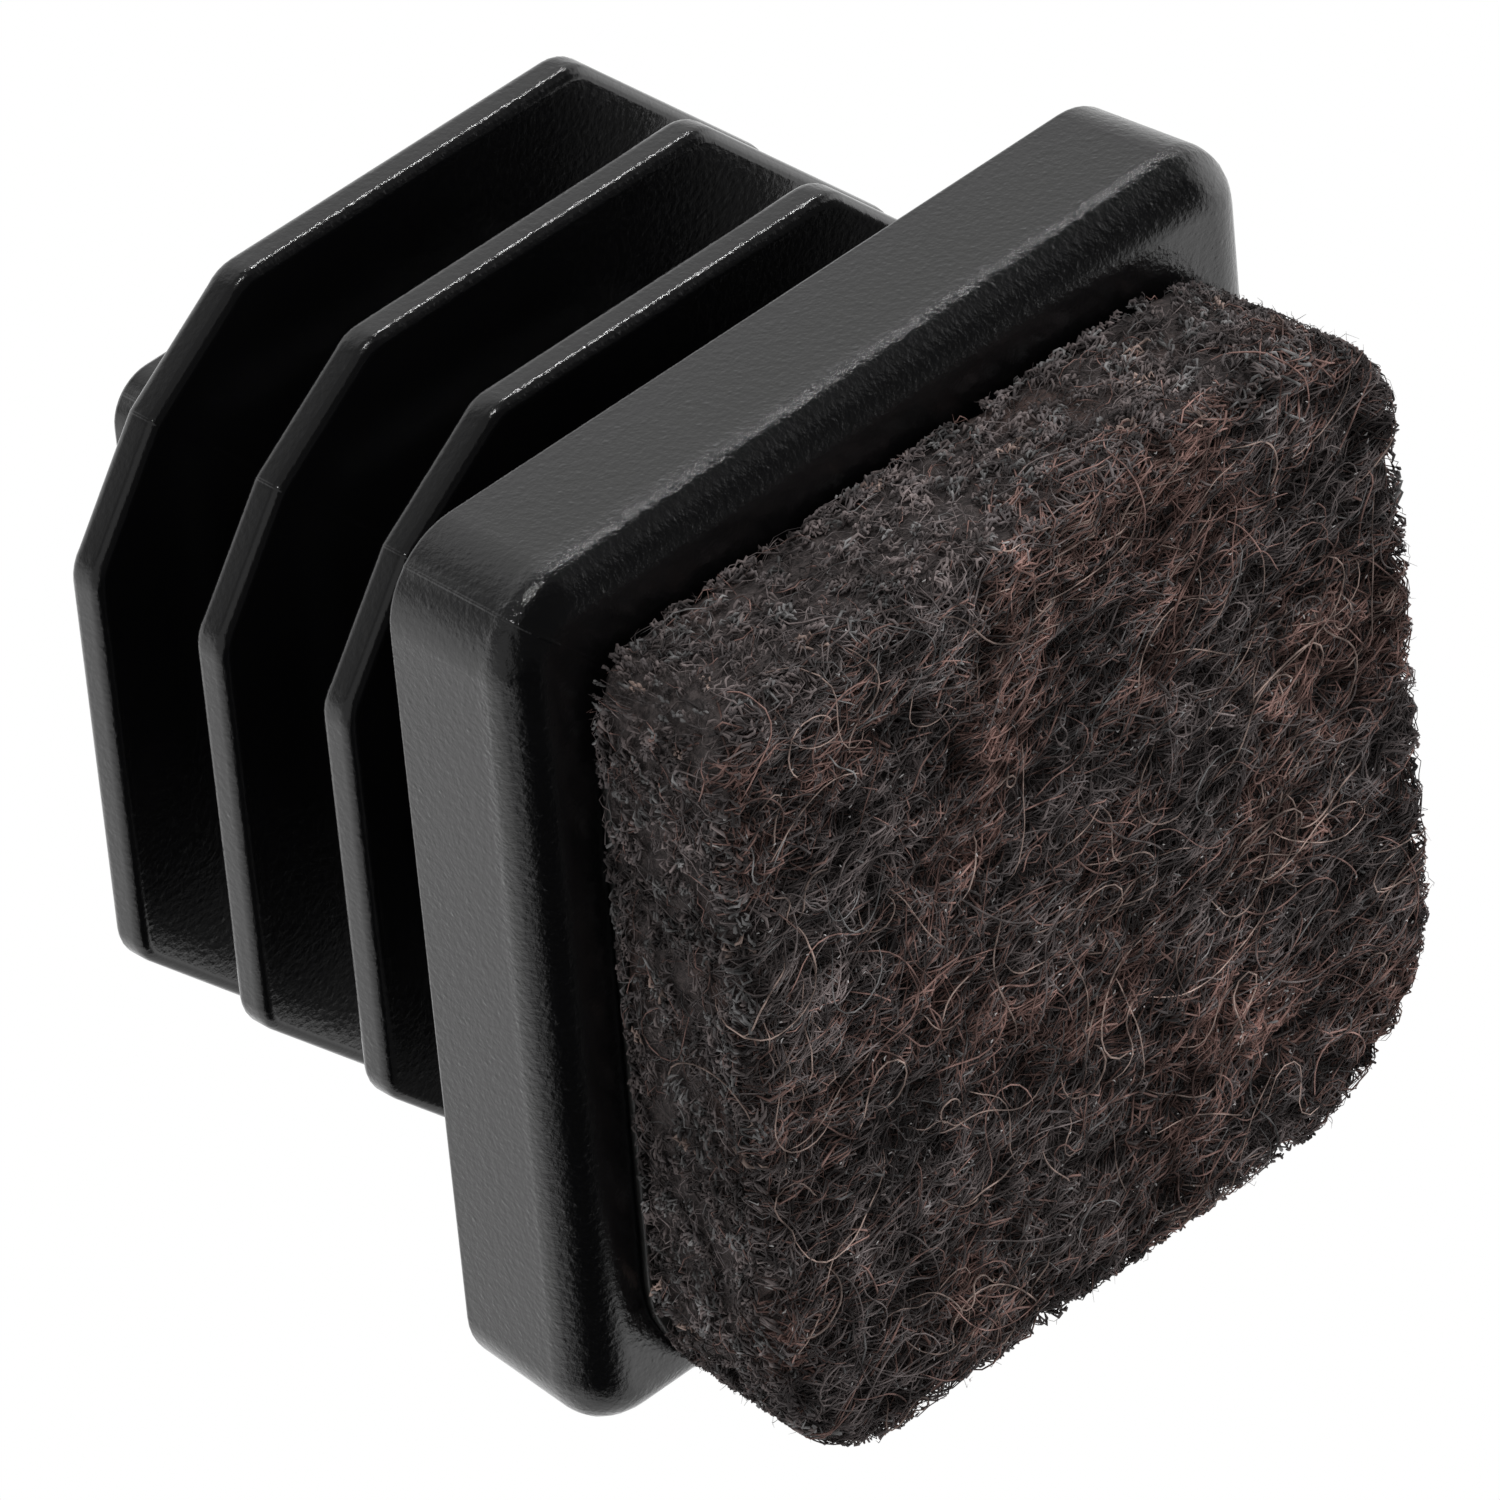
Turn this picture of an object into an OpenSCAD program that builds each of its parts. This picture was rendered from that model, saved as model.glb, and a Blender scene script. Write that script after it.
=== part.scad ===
// Cap for the foot of a square tube leg: a plastic plug with flexible lamellae,
// and a felt pad stuck under its head.
// Z is the plug's axis and points up into the leg. The felt stands on z = 0.

/* [Tube leg] */
// Outside width of the square tube that the cap closes
tube_side = 20; // [18:0.5:30]
// Wall of that tube
tube_wall = 1.2; // [0.8:0.1:2]

/* [Head] */
// Height of the head, from the adhesive film to the tube's end
head_height = 3.6; // [2.6:0.1:6]
// Radius of the head's upright corners
head_corner_r = 1.5; // [1.3:0.1:2.5]
// Rounding of the head's lower edge
head_edge_r = 0.7; // [0.3:0.05:0.9]

/* [Lamellae] */
// Number of lamellae
lamella_count = 3; // [2:1:4]
// How much wider the lamellae are than the tube's inside, so that they bend and grip
lamella_grip = 0.8; // [0.2:0.1:1.2]
// Thickness of one lamella
lamella_thickness = 0.85; // [0.6:0.05:1.2]
// Open height between the head and the first lamella
head_gap = 2.2; // [1.5:0.1:4]
// Open height between two lamellae
lamella_gap = 2.6; // [1.5:0.1:4]
// Leg of the cut across two facing corners of a lamella
corner_cut = 4.7; // [3:0.1:5]
// Leg of the cut across the other two corners, where the mould parts
parted_cut = 4.5; // [3:0.1:5]
// How far the middle of such a cut stands out along the parting line
parting_rise = 0.45; // [0.1:0.05:0.6]

/* [Core] */
// Outside width of the hollow square core that carries the lamellae
core_side = 9; // [8:0.5:12]
// Radius of the core's upright corners
core_corner_r = 1; // [0.8:0.1:2]
// Wall of the core
core_wall = 1.4; // [1:0.1:2]
// How far the core stands out above the last lamella
core_rise = 3.8; // [1:0.1:5]
// Thickness of the head that is left under the hollow
floor_thickness = 2; // [1.2:0.1:2.5]

/* [Felt pad] */
// How far the felt's edge stays inside the head's edge, all round
felt_margin = 0.8; // [0.5:0.1:3]
// Thickness of the felt
felt_thickness = 3.9; // [2:0.1:6]
// Radius of the felt's upright corners
felt_corner_r = 3; // [2:0.1:5]
// How far off the axis the pad was pressed on, along X
felt_shift_x = 0.5; // [-0.8:0.1:0.8]
// How far off the axis the pad was pressed on, along Y
felt_shift_y = 0.8; // [-0.8:0.1:0.8]

/* [Adhesive film] */
// Thickness of the adhesive film
film_thickness = 0.2; // [0.1:0.05:0.4]
// How far the film's edge stays inside the felt's edge
film_inset = 0.3; // [0.05:0.05:0.5]

/* [Hidden] */
$fn = 64;

// Widths that follow the tube
head_side = tube_side;
tube_bore = tube_side - 2 * tube_wall;
lamella_side = tube_bore + lamella_grip;
felt_side = head_side - 2 * felt_margin;
film_side = felt_side - 2 * film_inset;
film_corner_r = felt_corner_r - film_inset;
hollow_side = core_side - 2 * core_wall;

// Heights, from the felt's face upwards
film_z = felt_thickness;
head_z = film_z + film_thickness;
head_top = head_z + head_height;
lamella_pitch = lamella_thickness + lamella_gap;
first_lamella_z = head_top + head_gap;
last_lamella_top = first_lamella_z + (lamella_count - 1) * lamella_pitch + lamella_thickness;
core_top = last_lamella_top + core_rise;
hollow_z = head_z + floor_thickness;

// How far a cut reaches past a clean opening
cut_over = 1;

// Square outline with round corners, centred on the axis
module rounded_square(side, corner_r) {
    corner = side / 2 - corner_r;
    square([side, side - 2 * corner_r], center = true);
    square([side - 2 * corner_r, side], center = true);
    for (x = [-corner, corner], y = [-corner, corner])
        translate([x, y])
            circle(corner_r);
}

// Outline of half a block, from its middle to its side, with the lower edge rolled
module rolled_outline(reach, height, edge_r) {
    square([reach - edge_r, height]);
    translate([0, edge_r])
        square([reach, height - edge_r]);
    translate([reach - edge_r, edge_r])
        circle(edge_r);
}

// Head: covers the tube's end; two crossing bars and four corner columns share one rolled lower edge
module head() {
    corner = head_side / 2 - head_corner_r;
    translate([0, 0, head_z]) {
        for (turn = [0 : 90 : 270])
            rotate(turn) {
                rotate([90, 0, 90])
                    linear_extrude(2 * corner, center = true)
                        rolled_outline(head_side / 2, head_height, head_edge_r);
                translate([corner, corner])
                    rotate_extrude(angle = 90)
                        rolled_outline(head_corner_r, head_height, head_edge_r);
            }
    }
}

// Lamella: a thin square plate with cut corners; the parting plane crosses two of the cuts
module lamella() {
    half = lamella_side / 2;
    run = half - corner_cut;
    parted_run = half - parted_cut;
    peak = half - parted_cut / 2 + parting_rise / sqrt(2);
    linear_extrude(lamella_thickness)
        polygon([
            [-parted_run, -half],
            [run, -half],
            [half, -run],
            [half, parted_run],
            [peak, peak],
            [parted_run, half],
            [-run, half],
            [-half, run],
            [-half, -parted_run],
            [-peak, -peak]
        ]);
}

// Plug: one moulding of head, hollow core and lamellae
module plug() {
    color("#1d1d20")
        difference() {
            union() {
                head();
                translate([0, 0, hollow_z])
                    linear_extrude(core_top - hollow_z)
                        rounded_square(core_side, core_corner_r);
                for (i = [0 : lamella_count - 1])
                    translate([0, 0, first_lamella_z + i * lamella_pitch])
                        lamella();
            }
            translate([0, 0, hollow_z])
                linear_extrude(core_top - hollow_z + cut_over)
                    square(hollow_side, center = true);
        }
}

// Adhesive film: holds the felt under the head
module adhesive_film() {
    color("#8d8f8e")
        translate([felt_shift_x, felt_shift_y, film_z])
            linear_extrude(film_thickness)
                rounded_square(film_side, film_corner_r);
}

// Felt pad: the soft foot that slides on the floor
module felt_pad() {
    color("#33241f")
        translate([felt_shift_x, felt_shift_y, 0])
            linear_extrude(felt_thickness)
                rounded_square(felt_side, felt_corner_r);
}

plug();
adhesive_film();
felt_pad();
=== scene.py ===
"""Looks of a chair leg cap: a moulded plug with three lamellae, and a felt foot stuck under it.

Sizes are in millimetres until a mesh is finished, in the frame of the solids: Z runs up into the
leg, and the felt stands on Z = 0.
"""

import logging
import math
from dataclasses import dataclass, field
from enum import Enum
from functools import partial
from typing import Iterable, Optional, Sequence

import bmesh
import bpy
import numpy as np
from bmesh.types import BMEdge, BMesh, BMVert
from mathutils import Matrix, Vector, noise


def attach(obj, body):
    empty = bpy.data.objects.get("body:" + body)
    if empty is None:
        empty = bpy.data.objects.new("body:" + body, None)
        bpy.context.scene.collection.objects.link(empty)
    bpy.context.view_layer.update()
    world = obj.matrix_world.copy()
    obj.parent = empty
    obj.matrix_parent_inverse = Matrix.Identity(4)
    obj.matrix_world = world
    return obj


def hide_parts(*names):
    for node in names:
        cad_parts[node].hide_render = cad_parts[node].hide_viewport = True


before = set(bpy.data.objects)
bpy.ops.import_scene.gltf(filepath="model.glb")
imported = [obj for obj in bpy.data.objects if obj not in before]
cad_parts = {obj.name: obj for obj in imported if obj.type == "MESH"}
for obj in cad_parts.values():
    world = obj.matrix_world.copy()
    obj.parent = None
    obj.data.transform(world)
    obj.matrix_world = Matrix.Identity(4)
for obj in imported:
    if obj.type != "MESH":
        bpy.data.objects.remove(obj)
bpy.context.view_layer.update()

MM = 0.001
TOUCH = 1e-4  # places nearer to each other than this are one
MID_NOISE = (0.3, 0.7)  # where most of a noise's values lie
Pair = tuple[float, float]
Triple = tuple[float, float, float]
Colour = tuple[float, float, float, float]
Array = np.ndarray
Dice = np.random.Generator
Object = bpy.types.Object
Material = bpy.types.Material
Socket = bpy.types.NodeSocket
Sockets = bpy.types.NodeOutputs
log = logging.getLogger("leg_cap")


class Slot(Enum):
    """Material slots of the record."""

    BLACK_PLASTIC = "black_plastic"
    ADHESIVE = "adhesive"
    FELT = "felt"


class Corner(Enum):
    """Upright corners, by the signs of X and Y."""

    FAR_RIGHT = (1, 1)
    FAR_LEFT = (-1, 1)
    NEAR_LEFT = (-1, -1)
    NEAR_RIGHT = (1, -1)


class FibreShade(Enum):
    """Colours of the fibres in the felt, linear."""

    COAL = (0.114, 0.099, 0.099)
    UMBER = (0.165, 0.138, 0.135)
    RUST = (0.258, 0.158, 0.138)
    TAN = (0.385, 0.288, 0.252)
    ASH = (0.200, 0.195, 0.195)
    PALE = (0.440, 0.425, 0.420)


# Nodes and materials


class NodeBench:
    """Lays nodes into one node tree and joins them."""

    def __init__(self, tree: bpy.types.NodeTree) -> None:
        """Takes a node tree to work in, and clears it."""
        self.tree = tree
        tree.nodes.clear()

    def put(self, kind: str, inputs: Optional[dict] = None, **settings: object) -> bpy.types.Node:
        """Adds one node.

        Args:
            kind: the node's type name.
            inputs: socket name or number to a value, or to an output socket to join.
            settings: properties of the node itself.

        Returns:
            The new node.
        """
        node = self.tree.nodes.new(kind)
        for name, value in settings.items():
            setattr(node, name, value)
        for name, value in (inputs or {}).items():
            if isinstance(value, Socket):
                self.tree.links.new(value, node.inputs[name])
            else:
                node.inputs[name].default_value = value
        return node

    def math(self, operation: str, *values: object) -> Socket:
        """Returns the result of a Math node on numbers or sockets."""
        return self.put("ShaderNodeMath", dict(enumerate(values)), operation=operation).outputs[0]

    def span(self, value: Socket, low: float, high: float, to_low: object, to_high: object) -> Socket:
        """Maps a value smoothly from one range onto another, whose ends are numbers or sockets."""
        inputs = {"Value": value, "From Min": low, "From Max": high, "To Min": to_low, "To Max": to_high}
        return self.put("ShaderNodeMapRange", inputs, interpolation_type="SMOOTHSTEP").outputs["Result"]

    def blend(self, factor: object, first: object, second: object, blend_type: str = "MIX") -> Socket:
        """Mixes two colours, given by value or by socket; a factor of 0 gives the first."""
        inputs = {0: factor, 6: first, 7: second}
        return self.put("ShaderNodeMix", inputs, data_type="RGBA", blend_type=blend_type).outputs[2]

    def dot(self, way: Socket, axis: Triple) -> Socket:
        """Returns how far a direction runs along an axis."""
        return self.put("ShaderNodeVectorMath", {0: way, 1: axis}, operation="DOT_PRODUCT").outputs["Value"]

    def place(self) -> Socket:
        """Returns the place on the object, in metres."""
        return self.put("ShaderNodeTexCoord").outputs["Object"]

    def stretch(self, place: Socket, scale: Triple) -> Socket:
        """Returns places scaled along the axes."""
        return self.put("ShaderNodeMapping", {"Vector": place, "Scale": scale}).outputs["Vector"]

    def bump(self, height: Socket, depth: float, under: Optional[dict[str, Socket]] = None) -> Socket:
        """Returns normals raised by a height, over the Normal in under if there is one."""
        inputs = {"Height": height, "Distance": depth, **(under or {})}
        return self.put("ShaderNodeBump", inputs).outputs["Normal"]

    def surface(self, inputs: dict[str, object]) -> None:
        """Makes a Principled shader with these inputs the material's surface."""
        shader = self.put("ShaderNodeBsdfPrincipled", inputs)
        self.put("ShaderNodeOutputMaterial", {"Surface": shader.outputs["BSDF"]})


def new_material(name: str) -> tuple[Material, NodeBench]:
    """Makes an empty node material.

    Args:
        name: the material's name.

    Returns:
        The material and a bench on its tree.
    """
    material = bpy.data.materials.new(name)
    material.use_nodes = True
    return material, NodeBench(material.node_tree)


class MottleGroup:
    """Shader group: soft cloudy change over a surface at two sizes."""

    NAME = "soft_mottle"
    SOCKETS = (
        ("Vector", "INPUT", "NodeSocketVector"),
        ("Coarse", "INPUT", "NodeSocketFloat"),
        ("Fine", "INPUT", "NodeSocketFloat"),
        ("Cloud", "OUTPUT", "NodeSocketFloat"),
        ("Grain", "OUTPUT", "NodeSocketFloat"),
    )
    CLOUD = {"Detail": 3.0}
    GRAIN = {"Detail": 4.0, "Roughness": 0.62}

    @classmethod
    def tree(cls) -> bpy.types.NodeTree:
        """Makes the group on first use.

        Returns:
            The group's tree.
        """
        if cls.NAME in bpy.data.node_groups:
            return bpy.data.node_groups[cls.NAME]
        tree = bpy.data.node_groups.new(cls.NAME, "ShaderNodeTree")
        for name, in_out, kind in cls.SOCKETS:
            tree.interface.new_socket(name, in_out=in_out, socket_type=kind)
        bench = NodeBench(tree)
        given = bench.put("NodeGroupInput").outputs
        cloud = {"Vector": given["Vector"], "Scale": given["Coarse"], **cls.CLOUD}
        grain = {"Vector": given["Vector"], "Scale": given["Fine"], **cls.GRAIN}
        made = {
            name: bench.put("ShaderNodeTexNoise", inputs).outputs["Fac"]
            for name, inputs in (("Cloud", cloud), ("Grain", grain))
        }
        bench.put("NodeGroupOutput", made)
        return tree

    @classmethod
    def place(cls, bench: NodeBench, vector: Socket, coarse: float, fine: float) -> Sockets:
        """Places the group in a material, with scales per metre, and returns its outputs."""
        inputs = {"Vector": vector, "Coarse": coarse, "Fine": fine}
        return bench.put("ShaderNodeGroup", inputs, node_tree=cls.tree()).outputs


@dataclass(frozen=True)
class MouldedPlastic:
    """Black polyethylene from an eroded mould: fine matt grain, small pimples, a parting line."""

    dark: Colour = (0.003, 0.003, 0.0034, 1.0)
    pale: Colour = (0.006, 0.006, 0.0067, 1.0)
    roughness: Pair = (0.18, 0.09)
    ior: float = 1.52
    specular_level: float = 0.64
    scales: Pair = (420.0, 6500.0)
    pimple_scale: float = 3800.0
    pimple_edge: Pair = (0.05, 0.3)
    pimple_height: float = 0.2
    grain_depth: float = 0.018 * MM
    edge_z: float = 4.88 * MM
    edge_reach: float = 0.4 * MM
    edge_share: float = 2.0
    fine_from: float = 7.7 * MM
    fine_fade: float = 1.0 * MM
    fine_share: float = 0.5
    rim: Pair = (8.8 * MM, 9.1 * MM)
    rim_share: float = 0.9
    seam_reach: float = 0.07 * MM
    seam_height: float = 0.022 * MM

    def make(self) -> Material:
        """Makes the plastic.

        Returns:
            The material.
        """
        material, bench = new_material("matt_black_plastic")
        place = bench.place()
        axes = bench.put("ShaderNodeSeparateXYZ", {"Vector": place}).outputs
        mottle = MottleGroup.place(bench, place, *self.scales)
        pimple = bench.put("ShaderNodeTexVoronoi", {"Vector": place, "Scale": self.pimple_scale})
        dots = bench.span(pimple.outputs["Distance"], *self.pimple_edge, self.pimple_height, 0.0)
        grain = bench.math("ADD", mottle["Grain"], dots)
        height = bench.math("MULTIPLY", grain, self._wear(bench, axes))
        line = bench.math("MULTIPLY", self._seam(bench, axes), mottle["Cloud"])
        seam = bench.bump(line, self.seam_height)
        bench.surface({
            "Base Color": bench.blend(mottle["Cloud"], self.dark, self.pale),
            "Roughness": bench.span(mottle["Grain"], *MID_NOISE, *self.roughness),
            "Normal": bench.bump(height, self.grain_depth, {"Normal": seam}),
            "IOR": self.ior,
            "Specular IOR Level": self.specular_level,
        })
        return material

    def _wear(self, bench: NodeBench, axes: Sockets) -> Socket:
        """Makes the grain rough along the head's lower edge and the lamellae's rims, fine on their flats.

        Args:
            bench: the material's bench.
            axes: the place's X, Y and Z.

        Returns:
            The grain's share.
        """
        off = bench.math("ABSOLUTE", bench.math("SUBTRACT", axes["Z"], self.edge_z))
        head = bench.span(off, 0.0, self.edge_reach, self.edge_share, 1.0)
        across = bench.math("MAXIMUM", *(bench.math("ABSOLUTE", axes[name]) for name in "XY"))
        lamellae = bench.span(across, *self.rim, self.fine_share, self.rim_share)
        return bench.span(axes["Z"], self.fine_from, self.fine_from + self.fine_fade, head, lamellae)

    def _seam(self, bench: NodeBench, axes: Sockets) -> Socket:
        """Returns the height of the thin line where the mould's halves meet, in the plane X = Y."""
        off = bench.math("ABSOLUTE", bench.math("SUBTRACT", axes["X"], axes["Y"]))
        return bench.span(off, 0.0, self.seam_reach, 1.0, 0.0)


@dataclass(frozen=True)
class AdhesiveLayer:
    """Thin grey carrier of the adhesive: smooth, a little cloudy, glossy in patches."""

    clear: Colour = (0.020, 0.020, 0.020, 1.0)
    milky: Colour = (0.055, 0.055, 0.053, 1.0)
    roughness: Pair = (0.28, 0.5)
    scales: Pair = (700.0, 5200.0)
    ripple_depth: float = 0.02 * MM

    def make(self) -> Material:
        """Makes the adhesive.

        Returns:
            The material.
        """
        material, bench = new_material("grey_adhesive")
        mottle = MottleGroup.place(bench, bench.place(), *self.scales)
        bench.surface({
            "Base Color": bench.blend(mottle["Cloud"], self.clear, self.milky),
            "Roughness": bench.span(mottle["Grain"], *MID_NOISE, *self.roughness),
            "Normal": bench.bump(mottle["Cloud"], self.ripple_depth),
        })
        return material


@dataclass(frozen=True)
class FeltBed:
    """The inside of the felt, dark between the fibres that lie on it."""

    # hollow is painted shade: the bed's colour where its bump is low
    hollow: Colour = (0.077, 0.068, 0.068, 1.0)
    packed: Colour = (0.165, 0.140, 0.136, 1.0)
    rust: Colour = (0.220, 0.138, 0.118, 1.0)
    rust_edge: Pair = (0.52, 0.66)
    rust_share: float = 0.8
    roughness: Pair = (0.95, 0.8)
    specular_level: float = 0.15
    comb: Triple = (0.3, 1.0, 1.4)
    strand_scales: Pair = (900.0, 9000.0)
    tuft_scales: Pair = (260.0, 5200.0)
    nap_edge: Pair = (0.75, 1.25)
    nap_depth: float = 0.12 * MM

    def make(self) -> Material:
        """Makes the felt's bed, painted darker where its bump is low, as painted shade in its hollows.

        Returns:
            The material.
        """
        material, bench = new_material("packed_felt")
        place = bench.place()
        strands = MottleGroup.place(bench, bench.stretch(place, self.comb), *self.strand_scales)
        tufts = MottleGroup.place(bench, place, *self.tuft_scales)
        nap = bench.math("ADD", strands["Grain"], tufts["Grain"])
        tone = bench.span(nap, *self.nap_edge, 0.0, 1.0)
        red = bench.span(tufts["Cloud"], *self.rust_edge, 0.0, self.rust_share)
        warm = bench.blend(red, self.packed, self.rust)
        bench.surface({
            # painted shade: the colour goes towards hollow where the nap, the bump's height, is low
            "Base Color": bench.blend(tone, self.hollow, warm),
            "Roughness": bench.span(tone, 0.0, 1.0, *self.roughness),
            "Normal": bench.bump(nap, self.nap_depth),
            "Specular IOR Level": self.specular_level,
        })
        return material


@dataclass(frozen=True)
class FibreFinish:
    """Wool and synthetic fibre: each strand has its own colour, which changes along it, darker by painted
    shade in the felt's pits.
    """

    TINT = "strand_colour"
    name: str
    layers: Triple
    tone: Pair
    shine: float = 0.25
    tone_edge: Pair = (0.36, 0.62)
    roughness: Pair = (0.6, 0.85)
    scales: Pair = (1800.0, 14000.0)

    def make(self) -> Material:
        """Makes the fibre.

        Returns:
            The material.
        """
        material, bench = new_material(self.name)
        mottle = MottleGroup.place(bench, bench.stretch(bench.place(), self.layers), *self.scales)
        shade = bench.span(mottle["Cloud"], *self.tone_edge, *self.tone)
        grey = bench.put("ShaderNodeCombineColor", {"Red": shade, "Green": shade, "Blue": shade})
        tint = bench.put("ShaderNodeAttribute", attribute_name=self.TINT).outputs["Color"]
        bench.surface({
            "Base Color": bench.blend(1.0, tint, grey.outputs["Color"], "MULTIPLY"),
            "Roughness": bench.span(mottle["Grain"], *MID_NOISE, *self.roughness),
            "Specular IOR Level": self.shine,
        })
        return material


@dataclass(frozen=True)
class OneWayFloor:
    """Pale matt table that is seen from above only, so that the cap's foot can be seen from below."""

    low: Colour = (0.86, 0.86, 0.86, 1.0)
    high: Colour = (0.90, 0.90, 0.90, 1.0)
    scales: Pair = (30.0, 900.0)

    def make(self) -> Material:
        """Makes the floor.

        Returns:
            The material.
        """
        material, bench = new_material("pale_table")
        mottle = MottleGroup.place(bench, bench.place(), *self.scales)
        colour = bench.blend(mottle["Cloud"], self.low, self.high)
        matt = bench.put("ShaderNodeBsdfDiffuse", {"Color": colour}).outputs["BSDF"]
        clear = bench.put("ShaderNodeBsdfTransparent").outputs["BSDF"]
        direct = bench.put("ShaderNodeLightPath").outputs["Is Camera Ray"]
        below = bench.put("ShaderNodeNewGeometry").outputs["Backfacing"]
        seen = bench.math("MULTIPLY", direct, bench.math("SUBTRACT", 1.0, below))
        mix = bench.put("ShaderNodeMixShader", {0: seen, 1: clear, 2: matt})
        bench.put("ShaderNodeOutputMaterial", {"Surface": mix.outputs["Shader"]})
        return material


Finish = MouldedPlastic | AdhesiveLayer | FeltBed | FibreFinish


# Meshes


def mesh_object(bm: BMesh, name: str, closed: bool = True) -> Object:
    """Turns a finished bmesh in millimetres into an object in metres.

    Args:
        bm: the mesh, which is freed.
        name: the piece's name.
        closed: whether it is a closed shell, whose faces are turned outwards.

    Returns:
        The linked object, smooth shaded.
    """
    if closed:
        bmesh.ops.recalc_face_normals(bm, faces=bm.faces)
    bmesh.ops.scale(bm, vec=(MM, MM, MM), verts=bm.verts)
    mesh = bpy.data.meshes.new(name)
    bm.to_mesh(mesh)
    bm.free()
    mesh.shade_smooth()
    return linked(name, mesh)


def linked(name: str, data: bpy.types.ID) -> Object:
    """Makes an object and puts it in the scene.

    Args:
        name: the object's name.
        data: its mesh, curve, light or camera.

    Returns:
        The object.
    """
    obj = bpy.data.objects.new(name, data)
    bpy.context.scene.collection.objects.link(obj)
    return obj


def final_mesh(obj: Object) -> bpy.types.Mesh:
    """Returns an object's final shape as a new mesh."""
    graph = bpy.context.evaluated_depsgraph_get()
    return bpy.data.meshes.new_from_object(obj.evaluated_get(graph))


def round_edges(bm: BMesh, edges: Iterable[BMEdge], radius: float, segments: int) -> None:
    """Rounds edges with an even bevel, by a radius and with so many faces across."""
    bmesh.ops.bevel(
        bm, geom=list(edges), offset=radius, offset_type="OFFSET", segments=segments, profile=0.5,
        affect="EDGES", material=-1, clamp_overlap=True,
    )


def level_way(degrees: float) -> Vector:
    """Gives the level direction at an angle from X."""
    return Vector((math.cos(math.radians(degrees)), math.sin(math.radians(degrees)), 0))


def settle(obj: Object, finish: Finish, slot: Slot, node: str = "") -> None:
    """Gives a piece its finish and puts it on the cap's one body.

    Args:
        obj: the piece.
        finish: what it is made of.
        slot: the finish's slot in the record.
        node: the solid that it stands for, if any.
    """
    obj.data.materials.clear()
    obj.data.materials.append(finish.make())
    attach(obj, "root")
    if node:
        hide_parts(node)
    triangles = sum(len(face.vertices) - 2 for face in obj.data.polygons)
    log.info("%s: %d triangles, slot %s", obj.name, triangles, slot.value)


class RingLoft:
    """Skins closed outlines of equal count, one above the other, into one wall."""

    def __init__(self, outline: Sequence[Vector]) -> None:
        """Starts at a closed end.

        Args:
            outline: the first ring's points.
        """
        self.bm = bmesh.new()
        self.ring = bmesh.ops.create_circle(self.bm, segments=len(outline), radius=1.0)["verts"]
        self._move(outline)
        self.close()

    def _move(self, outline: Sequence[Vector]) -> None:
        """Moves the open ring onto an outline."""
        for vert, place in zip(self.ring, outline, strict=True):
            vert.co = place

    def edges(self) -> list[BMEdge]:
        """Returns the open ring's edges."""
        follow = self.ring[1:] + self.ring[:1]
        return [self.bm.edges.get(pair) for pair in zip(self.ring, follow)]

    def grow(self, outline: Sequence[Vector]) -> None:
        """Extrudes the open ring to the next outline.

        Args:
            outline: points of the next ring.
        """
        grown = bmesh.ops.extrude_edge_only(self.bm, edges=self.edges())["geom"]
        fresh = {item for item in grown if isinstance(item, BMVert)}
        self.ring = [
            next(other for edge in vert.link_edges if (other := edge.other_vert(vert)) in fresh)
            for vert in self.ring
        ]
        self._move(outline)

    def close(self) -> None:
        """Closes the open ring with one flat face."""
        bmesh.ops.contextual_create(self.bm, geom=self.edges())


# Plug


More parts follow.
